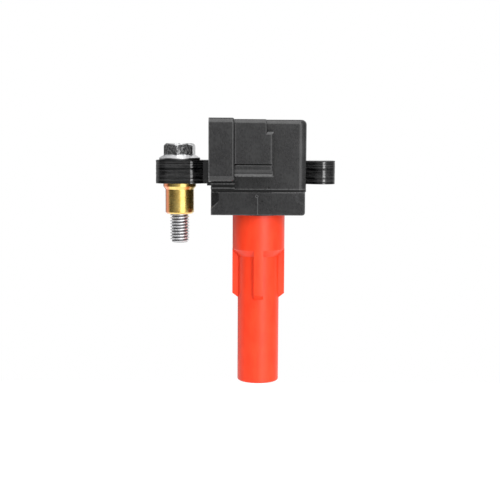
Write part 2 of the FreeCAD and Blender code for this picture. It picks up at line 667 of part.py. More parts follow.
def connector_body(inner_y):
    """The connector behind its collar: full height on the left, with a lower, wider part to the right."""
    notch_x = connector_end - CONNECTOR_NOTCH_WIDTH
    ledge = case_top - CONNECTOR_NOTCH_DEPTH
    ledge_top = ledge + LEDGE_RISE
    tall = box((collar_end, notch_x), (connector_front, inner_y), (connector_bottom, case_top))
    tall = rounded(tall, CONNECTOR_TOP_RADIUS, lambda edge: runs_along(edge, X_AXIS)
                   and near(edge.BoundBox.YMax, connector_front) and near(edge.BoundBox.ZMin, case_top))
    tall = rounded(tall, CONNECTOR_NOTCH_RADIUS, lambda edge: runs_along(edge, Z_AXIS)
                   and near(edge.BoundBox.YMax, connector_front) and near(edge.BoundBox.XMin, notch_x))
    wide = box((collar_end, connector_end), (connector_front, inner_y), (connector_bottom, ledge_top))
    wide = rounded(wide, CONNECTOR_EDGE_RADIUS, lambda edge: runs_along(edge, Z_AXIS)
                   and near(edge.BoundBox.YMax, connector_front) and near(edge.BoundBox.XMin, connector_end))
    above_ledge = side_prism([(connector_front, ledge - LEDGE_BEVEL_HEIGHT),
                              (connector_front + LEDGE_BEVEL_DEPTH, ledge), (case_front, ledge_top),
                              (connector_front, ledge_top)], (collar_end, connector_end))
    lip, lip_slope, hollow, band, line_start, line_root, line_end = sill_levels
    out = connector_front - SILL_LINE_DEPTH
    hollow_y = connector_front + SILL_HOLLOW_DEPTH
    lip_y = connector_front + SILL_LIP_SETBACK
    width = (collar_end, connector_end)
    line = side_prism([(connector_front, line_end), (connector_front + SILL_LINE_DEPTH, line_root),
                       (connector_front, line_start), (out, line_root)], width)
    sill = side_prism([(connector_front, band), (hollow_y, hollow), (hollow_y, lip_slope), (lip_y, lip),
                       (lip_y, connector_bottom), (out, connector_bottom), (out, band)], width)
    return [tall.cut([line, sill]), wide.cut([line, sill, above_ledge])]


def socket_room():
    """The space inside the connector, with the key left standing at its top."""
    room = box((collar_mouth, socket_floor), (socket_front, socket_back), (socket_bottom, socket_top))
    room = rounded(room, SOCKET_CORNER_RADIUS, lambda edge: runs_along(edge, X_AXIS))
    key_width = (socket_mid_y - KEY_WIDTH / 2, socket_mid_y + KEY_WIDTH / 2)
    key = box((collar_mouth + KEY_SETBACK, socket_floor), key_width, (socket_top - KEY_RISE, socket_top))
    return room.cut(key)


def case_rooms(back):
    """The spaces inside the case, out to a given depth: one for the coils, a narrower one in the foot."""
    coil_room = box((-cavity_half_width, cavity_half_width), (cavity_front, back),
                    (core_bottom - RESIN_GAP, cavity_top))
    foot_half = case_side - FOOT_WALL
    foot_room = box((-foot_half, foot_half), (case_front + FOOT_WALL, back), (case_floor, core_bottom))
    return coil_room.fuse(foot_room).removeSplitter()


def seal_slots():
    """The slots in the side walls, open to the back, that the core is lowered through."""
    level = (core_bottom - SEAL_THICKNESS, core_top + SEAL_THICKNESS)
    return [box((case_left, -cavity_half_width), (-LUG_ARM_HALF_WIDTH - SEAL_THICKNESS, case_back), level),
            box((cavity_half_width, case_side), (-LUG_ARM_HALF_WIDTH - SEAL_THICKNESS, case_back), level)]


def coil_case(terminals):
    """The moulded case, open at the back, with the terminals and the high-voltage pin moulded in."""
    case = case_body().multiFuse(connector_shell())
    bore_top = hv_cup_bottom + HV_CUP_HEIGHT
    case = case.cut([case_rooms(case_back), socket_room(), rod(TOWER_BORE_RADIUS, (tower_end, bore_top))]
                    + seal_slots() + terminals + [high_voltage_terminal()])
    return case.removeSplitter()


def core_seals(core):
    """A soft seal around the core at each side of the case; the left one laps out along the lug's arm."""
    left_slot, right_slot = seal_slots()
    shelf = box((-case_side - SEAL_SHELF_REACH, -case_side), (-LUG_ARM_HALF_WIDTH, LUG_ARM_HALF_WIDTH),
                (core_bottom - SEAL_THICKNESS, core_bottom))
    cheek_half = LUG_ARM_HALF_WIDTH + SEAL_CHEEK_THICKNESS
    cheeks = box((-case_side - SEAL_CHEEK_REACH, -case_side), (-cheek_half, cheek_half),
                 (core_bottom + SEAL_CHEEK_MARGINS[0], core_top - SEAL_CHEEK_MARGINS[1]))
    left = left_slot.multiFuse([shelf, cheeks]).cut(core).removeSplitter()
    return left, right_slot.cut(core).removeSplitter()


def potting_resin(held):
    """The resin that fills the case around everything in it."""
    return case_rooms(resin_back).cut(held).removeSplitter()


# Boot and contact

def plug_boot():
    """The boot: a wide top on the tower, a narrower sleeve for the plug, and ribs below the shoulder."""
    shoulder_top = boot_shoulder + BOOT_SHOULDER_LENGTH
    edge = BOOT_EDGE_RADIUS
    sleeve = rounded(rod(BOOT_LOWER_RADIUS, (0, boot_shoulder)), edge,
                     lambda rim: near(rim.BoundBox.ZMax, 0))
    shoulder = turned([(0, boot_shoulder), (BOOT_LOWER_RADIUS, boot_shoulder),
                       (BOOT_UPPER_RADIUS, shoulder_top), (BOOT_UPPER_RADIUS, BOOT_LENGTH), (0, BOOT_LENGTH)])
    rib_end = boot_shoulder - BOOT_RIB_LENGTH
    rib_outline = [(0, rib_end), (BOOT_LOWER_RADIUS, rib_end), (BOOT_RIB_RADIUS, rib_end + BOOT_RIB_TAPER),
                   (BOOT_RIB_RADIUS, shoulder_top), (0, shoulder_top)]
    rib_ring = turned(rib_outline)
    ribs = []
    for index in range(BOOT_RIB_COUNT):
        bar = box((0, 2 * BOOT_RIB_RADIUS), (-BOOT_RIB_WIDTH / 2, BOOT_RIB_WIDTH / 2),
                  (rib_end, shoulder_top))
        bar.rotate(V(0, 0, 0), Z_AXIS, 360 * index / BOOT_RIB_COUNT)
        ribs.append(rib_ring.common(bar))
    hollow = [rod(PLUG_BORE_RADIUS, (0, PLUG_BORE_DEPTH)),
              rod(PLUG_NUT_ROOM_RADIUS, (PLUG_BORE_DEPTH, lip_bottom)),
              rod(CONTACT_PASSAGE_RADIUS - CONTACT_LIP_OVERLAP, (lip_bottom, lip_top)),
              rod(CONTACT_PASSAGE_RADIUS, (lip_top, boot_ledge)),
              rod(TOWER_RADIUS + SLIP_FIT, (boot_ledge, BOOT_LENGTH))]
    return sleeve.multiFuse([shoulder] + ribs).cut(hollow).removeSplitter()


def noise_resistor():
    """The suppressor resistor between the tower's cup and the spring, a rod with a metal cap at each end."""
    necked = CONTACT_PASSAGE_RADIUS - RESISTOR_NECKING
    low = resistor_bottom + RESISTOR_CAP_LENGTH
    high = resistor_top - RESISTOR_CAP_LENGTH
    return turned([(0, resistor_bottom), (CONTACT_PASSAGE_RADIUS, resistor_bottom),
                   (CONTACT_PASSAGE_RADIUS, low), (necked, low), (necked, high),
                   (CONTACT_PASSAGE_RADIUS, high), (CONTACT_PASSAGE_RADIUS, resistor_top), (0, resistor_top)])


def contact_spring():
    """The coil spring that presses the contact cap down onto the plug."""
    coil_radius = CONTACT_PASSAGE_RADIUS - 2 * SPRING_WIRE_RADIUS - SLIP_FIT
    start = cap_collar_top + SEAT_GAP + SPRING_WIRE_RADIUS
    height = resistor_bottom - SEAT_GAP - SPRING_WIRE_RADIUS - start
    path = Part.Wire(Part.makeHelix(height / SPRING_TURNS, height, coil_radius))
    section = Part.Wire(Part.makeCircle(SPRING_WIRE_RADIUS, V(coil_radius, 0, 0), Y_AXIS))
    spring = path.makePipeShell([section], True, True)
    spring.translate(V(0, 0, start))
    return spring


def contact_cap():
    """The cap at the spring's end: its collar rests on the boot's lip and its nose meets the plug."""
    nose = CONTACT_PASSAGE_RADIUS - CONTACT_LIP_OVERLAP - SLIP_FIT
    collar = CONTACT_PASSAGE_RADIUS - SLIP_FIT
    nose_end = lip_bottom - CONTACT_TRAVEL
    spigot_top = cap_collar_top + CAP_SPIGOT_LENGTH
    return turned([(0, nose_end), (nose, nose_end), (nose, cap_collar_bottom), (collar, cap_collar_bottom),
                   (collar, cap_collar_top), (CAP_SPIGOT_RADIUS, cap_collar_top),
                   (CAP_SPIGOT_RADIUS, spigot_top), (0, spigot_top)])


# Sleeve and bolt

def mounting_sleeve():
    """The sleeve pressed into the lug: its flange bears on the lug and its end seats on the engine."""
    end = core_bottom - SLEEVE_LENGTH
    flange_bottom = core_bottom - SLEEVE_FLANGE_THICKNESS
    bore = BOLT_RADIUS + SLIP_FIT
    return turned([(bore, end), (SLEEVE_BODY_RADIUS - SLEEVE_CHAMFER, end),
                   (SLEEVE_BODY_RADIUS, end + SLEEVE_CHAMFER),
                   (SLEEVE_BODY_RADIUS, flange_bottom - SLEEVE_CONE_LENGTH),
                   (SLEEVE_FLANGE_RADIUS, flange_bottom), (SLEEVE_FLANGE_RADIUS, core_bottom),
                   (LUG_HOLE_RADIUS, core_bottom),
                   (LUG_HOLE_RADIUS, core_top), (bore, core_top)], (bolt_x, 0))


def thread_groove(end):
    """A V-shaped helical groove around the lower end of the bolt."""
    outer = BOLT_RADIUS + GROOVE_OVERSHOOT * THREAD_PITCH
    root = BOLT_RADIUS - GROOVE_DEPTH * THREAD_PITCH
    mouth = GROOVE_HALF_MOUTH * THREAD_PITCH
    flat = GROOVE_HALF_ROOT * THREAD_PITCH
    path = Part.Wire(Part.makeHelix(THREAD_PITCH, THREAD_LENGTH + THREAD_PITCH, outer))
    corners = [V(outer, 0, -mouth), V(root, 0, -flat), V(root, 0, flat), V(outer, 0, mouth)]
    groove = path.makePipeShell([Part.makePolygon(corners + corners[:1])], True, True)
    groove.translate(V(bolt_x, 0, end - THREAD_PITCH))
    return groove


def mounting_bolt():
    """The flanged hexagon bolt, with its lower end threaded."""
    seat = core_top + SEAT_GAP
    end = seat - BOLT_LENGTH
    shank = turned([(0, end), (BOLT_RADIUS - THREAD_END_CHAMFER, end),
                    (BOLT_RADIUS, end + THREAD_END_CHAMFER), (BOLT_RADIUS, seat), (0, seat)], (bolt_x, 0))
    shank = shank.cut(thread_groove(end))
    corner = HEX_ACROSS_FLATS / math.sqrt(3)
    cone_top = seat + BOLT_FLANGE_RIM + BOLT_FLANGE_CONE
    flange = turned([(0, seat), (BOLT_FLANGE_RADIUS, seat), (BOLT_FLANGE_RADIUS, seat + BOLT_FLANGE_RIM),
                     (HEX_ACROSS_FLATS / 2, cone_top), (0, cone_top)], (bolt_x, 0))
    top = cone_top + HEX_HEIGHT
    points = []
    for index in range(6):
        angle = math.radians(-90 + HEX_CLOCKING + 60 * index)
        points.append(V(bolt_x + corner * math.cos(angle), corner * math.sin(angle),
                        cone_top - BOLT_FLANGE_CONE))
    height = HEX_HEIGHT + BOLT_FLANGE_CONE
    hexagon = Part.Face(Part.makePolygon(points + points[:1])).extrude(Z_AXIS * height)
    limit = turned([(0, seat), (corner, seat), (corner, top - HEX_CHAMFER_DROP), (HEX_CHAMFER_RADIUS, top),
                    (0, top)], (bolt_x, 0))
    return shank.multiFuse([flange, hexagon.common(limit)]).removeSplitter()


def build():
    core = core_frame()
    names = ("power_terminal", "ground_terminal", "signal_terminal")
    terminals = {name: terminal(index) for index, name in enumerate(names)}
    held = {
        "center_core": centre_core(),
        "bias_magnet": bias_magnet(),
        "primary_bobbin": primary_bobbin(),
        "primary_winding": primary_winding(),
        "secondary_bobbin": secondary_bobbin(),
        "secondary_winding": secondary_winding(),
        "igniter_module": igniter_module(),
        "heat_sink": heat_sink(),
        "primary_supply_lead": primary_supply_lead(),
        "primary_switched_lead": primary_switched_lead(),
        "secondary_low_lead": secondary_low_lead(),
        "high_voltage_lead": high_voltage_lead(),
        "rectifier_diode": rectifier_diode(),
        "high_voltage_terminal": high_voltage_terminal(),
    }
    left_seal, right_seal = core_seals(core)
    nodes = {
        "coil_case": coil_case(list(terminals.values())),
        "core_frame": core,
        "core_seal_left": left_seal,
        "core_seal_right": right_seal,
        "potting_resin": potting_resin([core] + list(terminals.values()) + list(held.values())),
        "mounting_sleeve": mounting_sleeve(),
        "mounting_bolt": mounting_bolt(),
        "plug_boot": plug_boot(),
        "noise_resistor": noise_resistor(),
        "contact_spring": contact_spring(),
        "contact_cap": contact_cap(),
    }
    nodes.update(terminals)
    nodes.update(held)
    return nodes


os.makedirs("parts", exist_ok=True)
for node_name, node_shape in build().items():
    node_shape.exportStep("parts/" + node_name + ".step")
    print(node_name, "solids", len(node_shape.Solids), "valid", node_shape.isValid(),
          "volume", round(node_shape.Volume, 2))
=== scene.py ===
"""A plug-top ignition coil: black moulded case, laminated core and lug, plated sleeve and bolt, red boot.

Metres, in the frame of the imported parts: Z is the boot's axis, the bolt is towards -X, and the connector's
shell stands on the -Y side with its mouth towards -X.
"""

import json
import math
import random

import bmesh
import bpy
from mathutils import Matrix, Vector


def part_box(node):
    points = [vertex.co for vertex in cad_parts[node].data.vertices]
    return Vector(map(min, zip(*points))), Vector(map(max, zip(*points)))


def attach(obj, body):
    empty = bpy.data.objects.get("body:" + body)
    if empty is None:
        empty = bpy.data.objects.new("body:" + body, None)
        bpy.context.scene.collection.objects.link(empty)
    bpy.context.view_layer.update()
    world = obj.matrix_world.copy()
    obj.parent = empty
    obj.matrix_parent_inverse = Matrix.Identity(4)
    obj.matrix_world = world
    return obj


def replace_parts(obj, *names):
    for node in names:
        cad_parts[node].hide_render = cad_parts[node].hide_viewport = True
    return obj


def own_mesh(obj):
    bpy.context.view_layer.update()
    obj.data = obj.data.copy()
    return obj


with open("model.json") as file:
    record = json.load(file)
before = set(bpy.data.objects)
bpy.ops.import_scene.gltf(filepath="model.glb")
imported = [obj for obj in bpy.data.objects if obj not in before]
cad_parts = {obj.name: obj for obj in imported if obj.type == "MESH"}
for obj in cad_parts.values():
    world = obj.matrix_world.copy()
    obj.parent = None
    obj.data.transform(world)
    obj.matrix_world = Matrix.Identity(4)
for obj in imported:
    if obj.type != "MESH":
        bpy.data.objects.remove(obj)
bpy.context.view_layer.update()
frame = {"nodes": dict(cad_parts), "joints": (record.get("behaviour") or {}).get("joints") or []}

MM = 0.001
WELD = 0.001 * MM             # vertices closer than this are one
LEVEL_ERROR = 0.002 * MM      # a vertex this near to a level lies on it

# The core's sheets
SHEET = 0.5 * MM              # from one sheet to the next
SHEET_THICKNESS = 0.985 * SHEET
SHEET_COUNT = 19
SHEET_LEAN = 0.055 * MM       # how far a punched edge may lean over the thickness
SHEET_SHRINK = 0.0012         # how much smaller than the stack a sheet may be, as a fraction
SHEET_BREAK = 0.05 * MM       # how far its edges are broken
RIM_ANGLE = 1.2               # radians between two faces from which their edge is a rim

# The case's foot and the marks that its mould leaves there
FOOT_FRONT = -15.5 * MM
FOOT_BOTTOM = 70.7 * MM
FOOT_BEND = 76.1 * MM         # below this the front slopes back
FOOT_SET_BACK = 0.6 * MM      # to here at the bottom
LINE_TOP = 77.9 * MM
LINE_X = -0.60 * MM
LINE_WIDTH = 0.26 * MM
LINE_DEPTH = 0.30 * MM
LINE_EASE = 0.08 * MM
GATE_X = -0.95 * MM
GATE_ABOVE_LINE = 0.5 * MM
GATE_RADIUS = 0.50 * MM
GATE_BEAD = 0.15 * MM

# The resin's skin, as steps inwards and down from the walls
MENISCUS = ((0.20 * MM, 0.20 * MM), (0.30 * MM, 0.12 * MM), (0.60 * MM, 0.06 * MM))

# The bolt, up from the top of the core, and its thread
FLANGE_RIM = 0.65 * MM
FLANGE_HEIGHT = 2.1 * MM
THREAD_FLANK = 3.45 * MM      # the radius inside which the thread's roots are painted dark as their shade

FLOOR_LEVEL = -150 * MM
FLOOR_HALF_WIDTH = 0.6

core_low, core_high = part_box("core_frame")
bolt_low, bolt_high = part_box("mounting_bolt")
resin_low, resin_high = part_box("potting_resin")
bolt_axis = (bolt_low + bolt_high) / 2
# The lug's and the ear's front corners, down which the core's finish paints glints.
lug_corner = Vector((bolt_axis.x + 5.45 * MM, -9.45 * MM, 0))
ear_corner = Vector((core_high.x - 4.9 * MM, -8.9 * MM, 0))


# Shader maths

class Signal:
    """What a node gives out, so that shader maths reads as arithmetic."""

    def __init__(self, tree, socket):
        self.tree = tree
        self.socket = socket

    def __add__(self, other):
        return self.tree.math("ADD", self, other)

    def __radd__(self, other):
        return self.tree.math("ADD", other, self)

    def __sub__(self, other):
        return self.tree.math("SUBTRACT", self, other)

    def __rsub__(self, other):
        return self.tree.math("SUBTRACT", other, self)

    def __mul__(self, other):
        return self.tree.math("MULTIPLY", self, other)

    def __rmul__(self, other):
        return self.tree.math("MULTIPLY", other, self)

    def __truediv__(self, other):
        return self.tree.math("DIVIDE", self, other)


class Tree:
    """A node tree and the few kinds of node that the finishes are made of."""

    def __init__(self, node_tree):
        self.nodes = node_tree.nodes
        self.links = node_tree.links

    def feed(self, socket, value):
        """Gives a socket a value or a link."""
        if isinstance(value, Signal):
            self.links.new(value.socket, socket)
        elif isinstance(value, (tuple, Vector)) and len(value) == 3 and socket.type == "RGBA":
            socket.default_value = (*value, 1)
        else:
            socket.default_value = value

    def add(self, kind, settings, values, output=0):
        """A node with its settings, then the values of its sockets by name or number."""
        node = self.nodes.new(kind)
        for name, setting in settings.items():
            setattr(node, name, setting)
        for key, value in values.items():
            self.feed(node.inputs[key], value)
        return Signal(self, node.outputs[output])

    def math(self, operation, first, second=0.0):
        return self.add("ShaderNodeMath", {"operation": operation}, {0: first, 1: second})

    def ramp(self, value, start, end, low=0.0, high=1.0):
        """Eases from low to high as the value goes from start to end."""
        return self.add("ShaderNodeMapRange", {"interpolation_type": "SMOOTHSTEP"},
                        {"Value": value, "From Min": start, "From Max": end, "To Min": low, "To Max": high})

    def blend(self, mask, first, second):
        """Goes from the first colour to the second as the mask goes from 0 to 1."""
        return self.add("ShaderNodeMix", {"data_type": "RGBA"}, {0: mask, 6: first, 7: second}, output=2)


class Finish(Tree):
    """A surface finish: a Principled shader whose patterns follow the object's own coordinates."""

    def __init__(self, name, metallic=0.0, **sockets):
        self.material = bpy.data.materials.new(name)
        self.material.use_nodes = True
        super().__init__(self.material.node_tree)
        self.shader = self.nodes["Principled BSDF"]
        self.shader.inputs["Metallic"].default_value = metallic
        for key, value in sockets.items():
            socket = key.replace("_", " ").title().replace("Ior", "IOR")
            self.shader.inputs[socket].default_value = value
        self.place = self.add("ShaderNodeTexCoord", {}, {}, output="Object")

    def along(self, axis):
        """The object's own X, Y or Z."""
        return self.add("ShaderNodeSeparateXYZ", {}, {0: self.place}, output=axis)

    def stretched(self, scale, centre=(0, 0, 0)):
        """The object's coordinates, centred on a point and scaled on each axis."""
        moved = self.add("ShaderNodeVectorMath", {"operation": "SUBTRACT"}, {0: self.place, 1: centre})
        return self.add("ShaderNodeMapping", {}, {"Vector": moved, "Scale": scale})

    def mottle(self, size, detail, coordinates=None):
        """Noise with features of about a given size, from 0 to 1."""
        return self.add("ShaderNodeTexNoise", {},
                        {"Vector": coordinates or self.place, "Scale": 1 / size, "Detail": detail})

    def reach(self, centre):
        """The distance from an upright line through a point."""
        across = self.stretched((1, 1, 0), centre)
        return self.add("ShaderNodeVectorMath", {"operation": "LENGTH"}, {0: across}, output="Value")

    def spot(self, point, radius):
        """A soft spot: 1 at a point and 0 from a radius outwards."""
        distance = self.add("ShaderNodeVectorMath", {"operation": "DISTANCE"}, {0: self.place, 1: point},
                            output="Value")
        return self.ramp(distance, 0.3 * radius, radius, 1.0, 0.0)

    def edges(self, width):
        """1 on the part's own sharp outer edges, out to about a width, and 0 elsewhere."""
        inward = self.add("ShaderNodeAmbientOcclusion", {"samples": 12, "inside": True, "only_local": True},
                          {"Distance": width}, output="AO")
        return self.ramp(inward, 0.84, 0.64)

    def corners(self, width):
        """1 in the part's own inner corners, out to about a width, and 0 elsewhere."""
        outward = self.add("ShaderNodeAmbientOcclusion", {"samples": 12, "only_local": True},
                           {"Distance": width}, output="AO")
        return self.ramp(outward, 0.95, 0.55)

    def colour(self, value):
        self.feed(self.shader.inputs["Base Color"], value)

    def roughness(self, value):
        self.feed(self.shader.inputs["Roughness"], value)

    def relief(self, height, depth):
        """Raises the surface by the height, from 0 to 1, times a depth."""
        bump = self.add("ShaderNodeBump", {}, {"Strength": 1.0, "Distance": depth, "Height": height})
        self.feed(self.shader.inputs["Normal"], bump)


# Finishes

def case_moulding():
    """Black glass-filled plastic: a satin grain and two pits painted dark as their shade, with a painted
    highlight on its outer edges and painted shade in its inner corners.
    """
    finish = Finish("case_moulding")
    cloud = finish.mottle(6 * MM, 3)
    grain = finish.mottle(0.22 * MM, 2)
    fibre = finish.mottle(0.6 * MM, 3, finish.stretched((1, 1, 0.55)))
    # Two shallow pits, painted near-black as the shade inside them.
    pits = finish.spot(Vector((3.78, -14.9, 81.85)) * MM, 0.70 * MM)
    pits = pits + finish.spot(Vector((1.1, -15.5, 76.3)) * MM, 0.60 * MM)
    tone = finish.ramp(cloud * 0.45 + fibre * 0.55, 0.38, 0.64)
    tone = finish.blend(tone, (0.0125, 0.0125, 0.0130), (0.0245, 0.0245, 0.0250))
    specks = finish.ramp(finish.mottle(0.35 * MM, 1), 0.70, 0.78)
    tone = finish.blend(specks * 0.5, tone, (0.05, 0.05, 0.052))
    # Painted shade: the part's inner corners are darkened.
    painted_corner_shade = finish.corners(0.8 * MM)
    # Painted highlight: the part's sharp outer edges are made paler, broken by the fibre, and kept out of the
    # corners.
    painted_edge_highlight = finish.edges(0.9 * MM) * finish.ramp(fibre, 0.20, 0.55) * (1 - painted_corner_shade)
    tone = finish.blend(painted_edge_highlight, tone, (0.085, 0.085, 0.086))
    tone = finish.blend(painted_corner_shade, tone, (0.003, 0.003, 0.003))
    finish.colour(finish.blend(pits, tone, (0.002, 0.002, 0.002)))
    finish.roughness(0.15 + 0.10 * grain)
    finish.relief(grain * 0.6 + fibre * 0.4 - pits, 0.020 * MM)
    return finish.material


def core_paint():
    """Thin black paint over stamped sheets: each takes it differently, and two front corners carry painted
    glints.
    """
    finish = Finish("core_paint", ior=1.42)
    level = (finish.along("Z") - core_low.z) / SHEET
    sheet = finish.math("FLOOR", level)
    lot = finish.add("ShaderNodeTexWhiteNoise", {"noise_dimensions": "1D"}, {"W": sheet})
    streak = finish.mottle(1 * MM, 3, finish.stretched((0.25, 0.25, 1.3)))
    fine = finish.mottle(0.3 * MM, 3, finish.stretched((0.5, 0.5, 1.0)))
    tone = finish.ramp(lot * 0.6 + streak * 0.8 + fine * 0.4, 0.75, 1.15)
    painted = finish.blend(tone, (0.0005, 0.0005, 0.0006), (0.021, 0.021, 0.0215))
    # Painted glints: pale strips down those two corners, broken from sheet to sheet, where the lamp's
    # reflection would fall.
    painted_glints = sum(finish.ramp(finish.reach(corner), 0.65 * MM, 0.30 * MM)
               for corner in (lug_corner, ear_corner))
    painted_glints = painted_glints * finish.ramp(lot * 0.7 + finish.mottle(0.9 * MM, 2), 0.62, 1.05)
    finish.colour(finish.blend(painted_glints, painted, (0.26, 0.26, 0.26)))
    finish.roughness(0.02 + 0.16 * finish.ramp(streak, 0.35, 0.65) + 0.04 * lot)
    finish.relief(streak * 0.7 + fine * 0.3, 0.030 * MM)
    return finish.material


def seal_rubber():
    """Matt black rubber."""
    finish = Finish("seal_rubber")
    cloud = finish.mottle(2 * MM, 3)
    finish.colour(finish.blend(cloud, (0.010, 0.010, 0.0105), (0.024, 0.024, 0.025)))
    finish.roughness(0.62 + 0.16 * cloud)
    finish.relief(finish.mottle(0.25 * MM, 2), 0.015 * MM)
    return finish.material


def cast_resin():
    """Glossy black potting resin with a slightly uneven skin."""
    finish = Finish("cast_resin", coat_weight=0.4, coat_roughness=0.05)
    swell = finish.mottle(5 * MM, 2)
    dust = finish.ramp(finish.mottle(0.5 * MM, 2), 0.66, 0.74)
    finish.colour(finish.blend(dust * 0.35, (0.008, 0.0075, 0.007), (0.06, 0.057, 0.05)))
    finish.roughness(0.12 + 0.10 * swell + 0.25 * dust)
    finish.relief(swell, 0.05 * MM)
    return finish.material


def passivated_sleeve():
    """Turned steel, plated and passivated yellow, with a rose tint on its outer flank that is partly the
    passivation's own patchy colour and partly a painted grazing sheen.
    """
    finish = Finish("passivated_sleeve", metallic=1.0, coat_weight=0.6, coat_roughness=0.06, coat_ior=1.75)
    side = (finish.along("X") - bolt_axis.x) / MM
    patch = finish.mottle(3 * MM, 2)
    rings = finish.mottle(0.5 * MM, 3, finish.stretched((0.05, 0.05, 4.0)))
    gold = finish.blend(finish.ramp(patch, 0.35, 0.65), (0.80, 0.53, 0.13), (0.86, 0.62, 0.18))
    # Rose on the flank away from the case: partly the passivation's own patchy tint, partly a painted sheen
    # for the rose that the grazing flank shows.
    rose = finish.ramp(side + (patch - 0.5) * 0.8, -3.6, -4.6)
    finish.colour(finish.blend(rose, gold, (0.84, 0.25, 0.08)))
    finish.roughness(0.21 + 0.10 * rings + 0.04 * patch)
    finish.relief(rings, 0.006 * MM)
    return finish.material


def turned_brass():
    """Bare turned brass."""
    finish = Finish("turned_brass", metallic=1.0)
    rings = finish.mottle(0.4 * MM, 3, finish.stretched((0.05, 0.05, 4.0)))
    finish.colour(finish.blend(rings, (0.72, 0.50, 0.20), (0.82, 0.61, 0.28)))
    finish.roughness(0.22 + 0.14 * rings)
    finish.relief(rings, 0.006 * MM)
    return finish.material


def bright_zinc():
    """Bright zinc plate over a cold-headed bolt: hazy on the head, with painted shade round the flange's rim
    and in the thread's roots.
    """
    finish = Finish("bright_zinc", metallic=1.0)
    level = finish.along("Z") - core_high.z
    head = finish.ramp(level, -0.5 * MM, 0.0)
    flange = finish.ramp(level, FLANGE_HEIGHT + 0.3 * MM, FLANGE_HEIGHT - 0.3 * MM) * head
    # Painted shade: a dark band round the lower part of the flange's rim.
    rim = finish.ramp(level, FLANGE_RIM + 0.1 * MM, FLANGE_RIM - 0.1 * MM) * head
    thread = 1 - head
    # Painted shade: the thread's roots darkened inside THREAD_FLANK.
    painted_root_shade = finish.ramp(finish.reach(bolt_axis), THREAD_FLANK + 0.1 * MM, THREAD_FLANK - 0.1 * MM) * thread
    haze = finish.mottle(0.85 * MM, 4)
    scratch = finish.mottle(0.3 * MM, 3, finish.stretched((1.0, 1.0, 0.3)))
    plate = finish.blend(finish.ramp(haze, 0.36, 0.64), (0.28, 0.285, 0.29), (0.82, 0.82, 0.825))
    plate = finish.blend(thread + flange, plate, (0.82, 0.82, 0.83))
    plate = finish.blend(rim * 0.9, plate, (0.03, 0.03, 0.032))
    finish.colour(finish.blend(painted_root_shade * 0.8, plate, (0.06, 0.06, 0.065)))
    finish.roughness(0.16 + 0.10 * haze + 0.06 * scratch + 0.12 * thread + 0.16 * flange)
    finish.relief((haze * 0.6 + scratch * 0.4) * (1 - 0.8 * (flange + thread)), 0.036 * MM)
    return finish.material


def tinned_terminal():
    """Tin plate over brass strip."""
    finish = Finish("tinned_terminal", metallic=1.0)
    drawn = finish.mottle(0.4 * MM, 3, finish.stretched((0.2, 1.0, 3.0)))
    finish.colour(finish.blend(drawn, (0.66, 0.65, 0.61), (0.80, 0.79, 0.76)))
    finish.roughness(0.24 + 0.16 * drawn)
    finish.relief(drawn, 0.004 * MM)
    return finish.material


def sintered_magnet():
    """Dark grey sintered magnet with a coarse ground face."""
    finish = Finish("sintered_magnet")
    grain = finish.mottle(0.3 * MM, 4)
    finish.colour(finish.blend(grain, (0.045, 0.045, 0.05), (0.12, 0.12, 0.125)))
    finish.roughness(0.5 + 0.25 * grain)
    finish.relief(grain, 0.02 * MM)
    return finish.material


def bobbin_moulding():
    """Natural-coloured moulded plastic."""
    finish = Finish("bobbin_moulding")
    cloud = finish.mottle(3 * MM, 3)
    finish.colour(finish.blend(cloud, (0.50, 0.44, 0.31), (0.60, 0.54, 0.40)))
    finish.roughness(0.38 + 0.12 * cloud)
    finish.relief(finish.mottle(0.3 * MM, 2), 0.008 * MM)
    return finish.material


def enamelled_wire(name, wire, dark, bright):
    """Turns of enamelled copper wire wound around the X axis, each turn's crown painted lighter and the
    valleys between turns painted darker as their light and shade.
    """
    finish = Finish(name, metallic=0.85, coat_weight=0.5, coat_roughness=0.12)
    turn = finish.math("PINGPONG", finish.along("X") / wire, 0.5)
    crown = finish.ramp(turn, 0.0, 0.5)
    wander = finish.mottle(1.5 * MM, 2)
    # Painted highlight on each turn's crown and painted shade in the valleys between turns.
    finish.colour(finish.blend(crown * 0.7 + wander * 0.3, dark, bright))
    finish.roughness(0.34 - 0.12 * crown)
    finish.relief(crown, wire / 4)
    return finish.material


def epoxy_moulding():
    """Black moulded epoxy, as on power modules."""
    finish = Finish("epoxy_moulding")
    grain = finish.mottle(0.18 * MM, 3)
    finish.colour(finish.blend(grain, (0.012, 0.012, 0.0125), (0.028, 0.028, 0.029)))
    finish.roughness(0.52 + 0.2 * grain)
    finish.relief(grain, 0.012 * MM)
    return finish.material


def rolled_aluminium():
    """Rolled aluminium plate with fine lines along X."""
    finish = Finish("rolled_aluminium", metallic=1.0)
    lines = finish.mottle(0.6 * MM, 4, finish.stretched((0.08, 3.0, 3.0)))
    finish.colour(finish.blend(lines, (0.74, 0.75, 0.76), (0.88, 0.88, 0.89)))
    finish.roughness(0.26 + 0.18 * lines)
    finish.relief(lines, 0.005 * MM)
    return finish.material


def boot_silicone():
    """Red silicone rubber: a satin skin, slightly cloudy, with a fine mould texture."""
    finish = Finish("boot_silicone", ior=1.40)
    cloud = finish.mottle(7 * MM, 3)
    skin = finish.mottle(0.5 * MM, 3)
    drag = finish.mottle(2 * MM, 3, finish.stretched((1.0, 1.0, 0.25)))
    tone = finish.ramp(cloud * 0.5 + drag * 0.5, 0.35, 0.65)
    tone = finish.blend(tone, (0.88, 0.042, 0.009), (0.94, 0.054, 0.013))
    dust = finish.ramp(finish.mottle(0.6 * MM, 2), 0.68, 0.78)
    finish.colour(finish.blend(dust * 0.2, tone, (0.92, 0.13, 0.07)))
    finish.roughness(0.31 + 0.08 * skin + 0.05 * cloud)
    finish.relief(skin * 0.5 + drag * 0.5, 0.02 * MM)
    return finish.material


